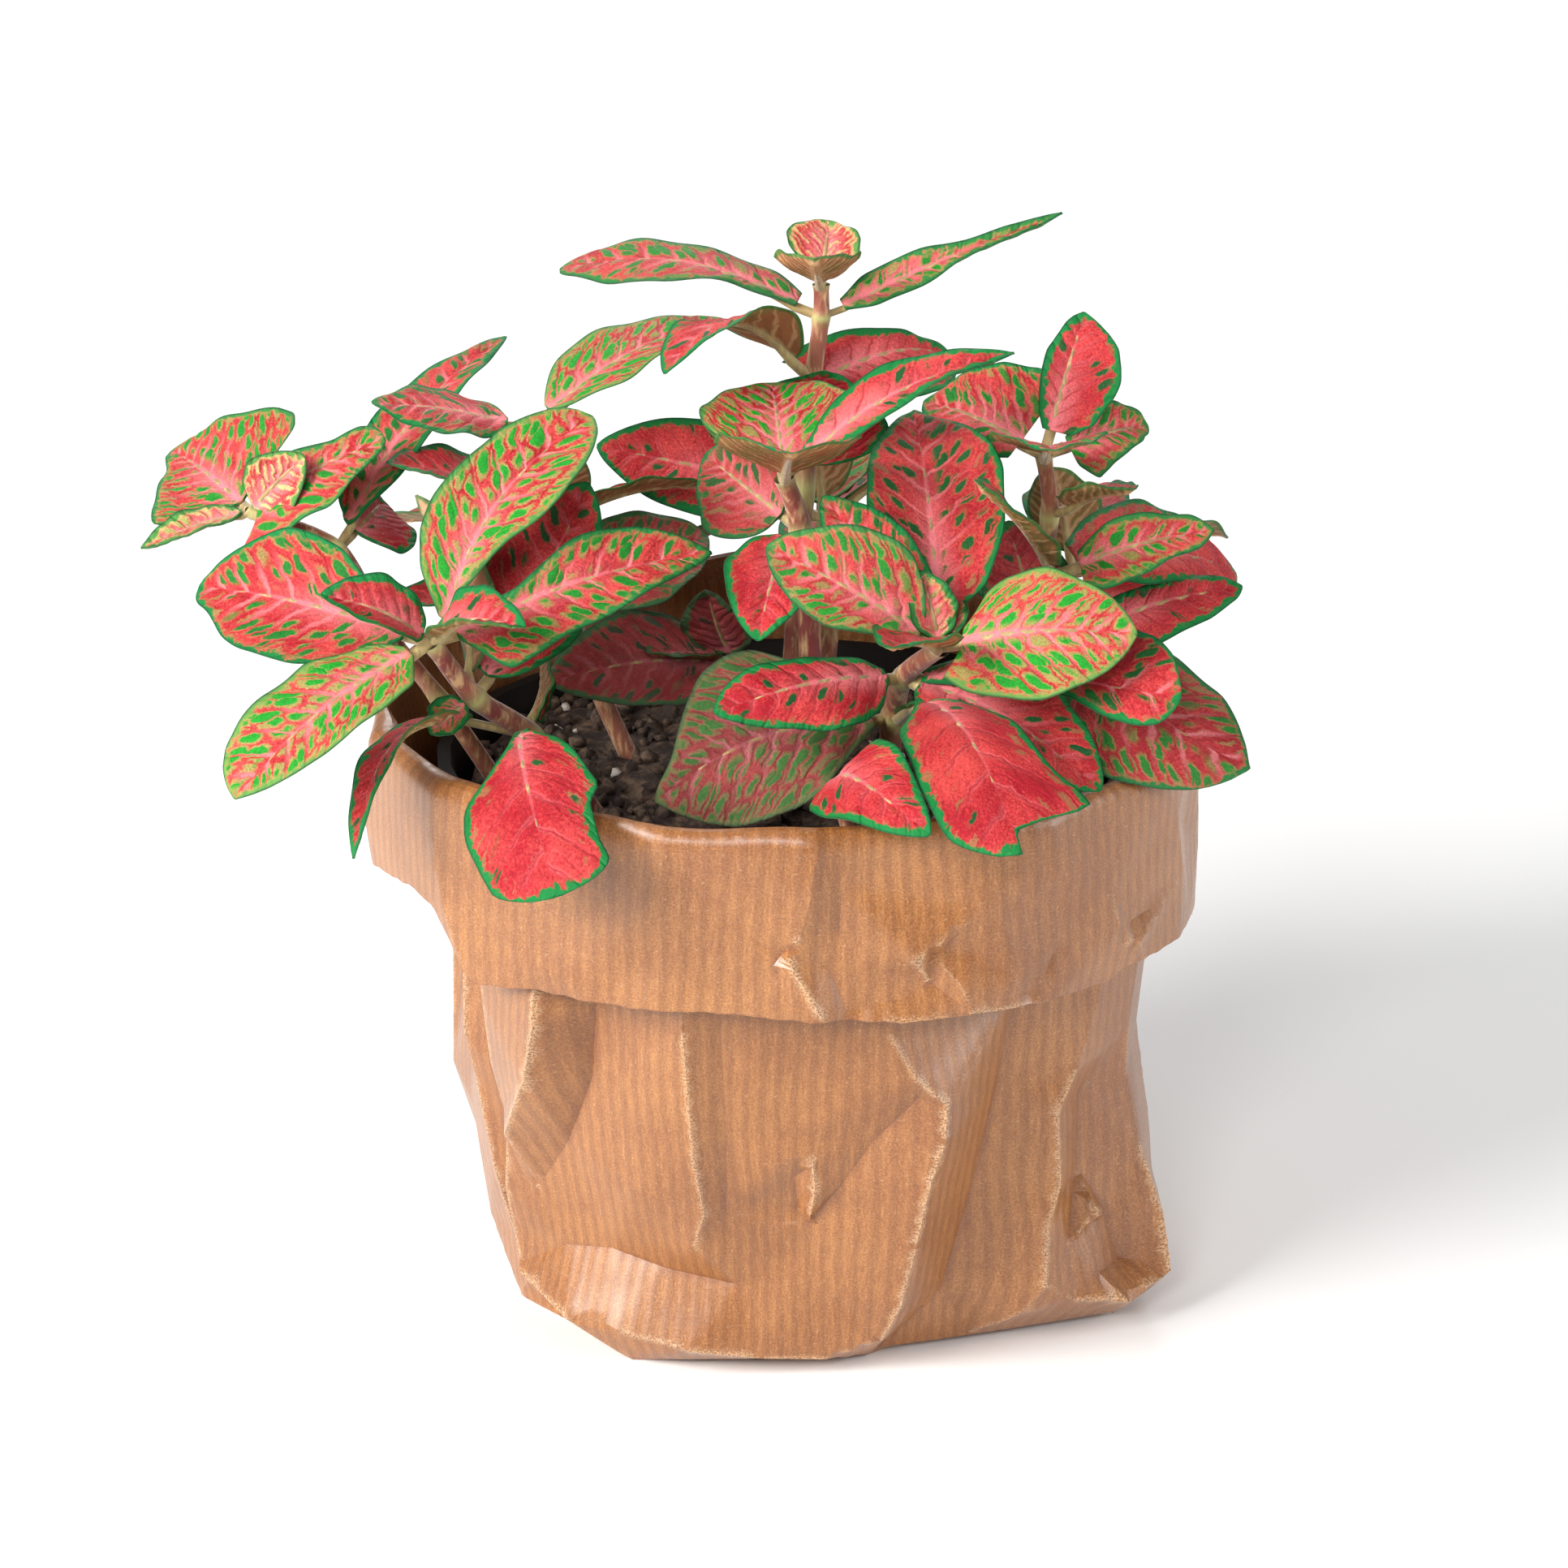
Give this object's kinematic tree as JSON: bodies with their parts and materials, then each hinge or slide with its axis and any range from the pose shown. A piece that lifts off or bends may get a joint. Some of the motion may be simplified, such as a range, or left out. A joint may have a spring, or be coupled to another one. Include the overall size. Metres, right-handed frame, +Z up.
{
  "type": "potted nerve plant",
  "caption": "Small red-veined nerve plant in a nursery pot, standing in a turned-down bag of crumpled ribbed brown kraft paper.",
  "frame": {"origin": "middle of the bag's base, on the floor the bag stands on", "axes": "+X to the right of the picture's view, +Y away from the viewer, +Z up"},
  "size_m": [0.1375, 0.1195, 0.1299],
  "materials": {
    "kraft_paper": "ribbed brown kraft paper with a faint glazed sheen",
    "pot_plastic": "thin dark moulded plastic",
    "soil": "damp dark peat with white perlite",
    "leaf": "satin leaf, coral red net of veins on green with a green edge"
  },
  "bodies": {
    "root": {"paper_bag": "kraft_paper", "nursery_pot": "pot_plastic", "soil": "soil", "shoot_front_left": "leaf", "shoot_far_left": "leaf", "shoot_mid_left": "leaf", "shoot_top": "leaf", "shoot_centre": "leaf", "shoot_front_right": "leaf", "shoot_back_right": "leaf", "shoot_right": "leaf", "shoot_inner": "leaf", "shoot_low_front": "leaf", "shoot_back_left": "leaf", "shoot_back": "leaf", "shoot_back_far_right": "leaf"}
  },
  "joints": []
}
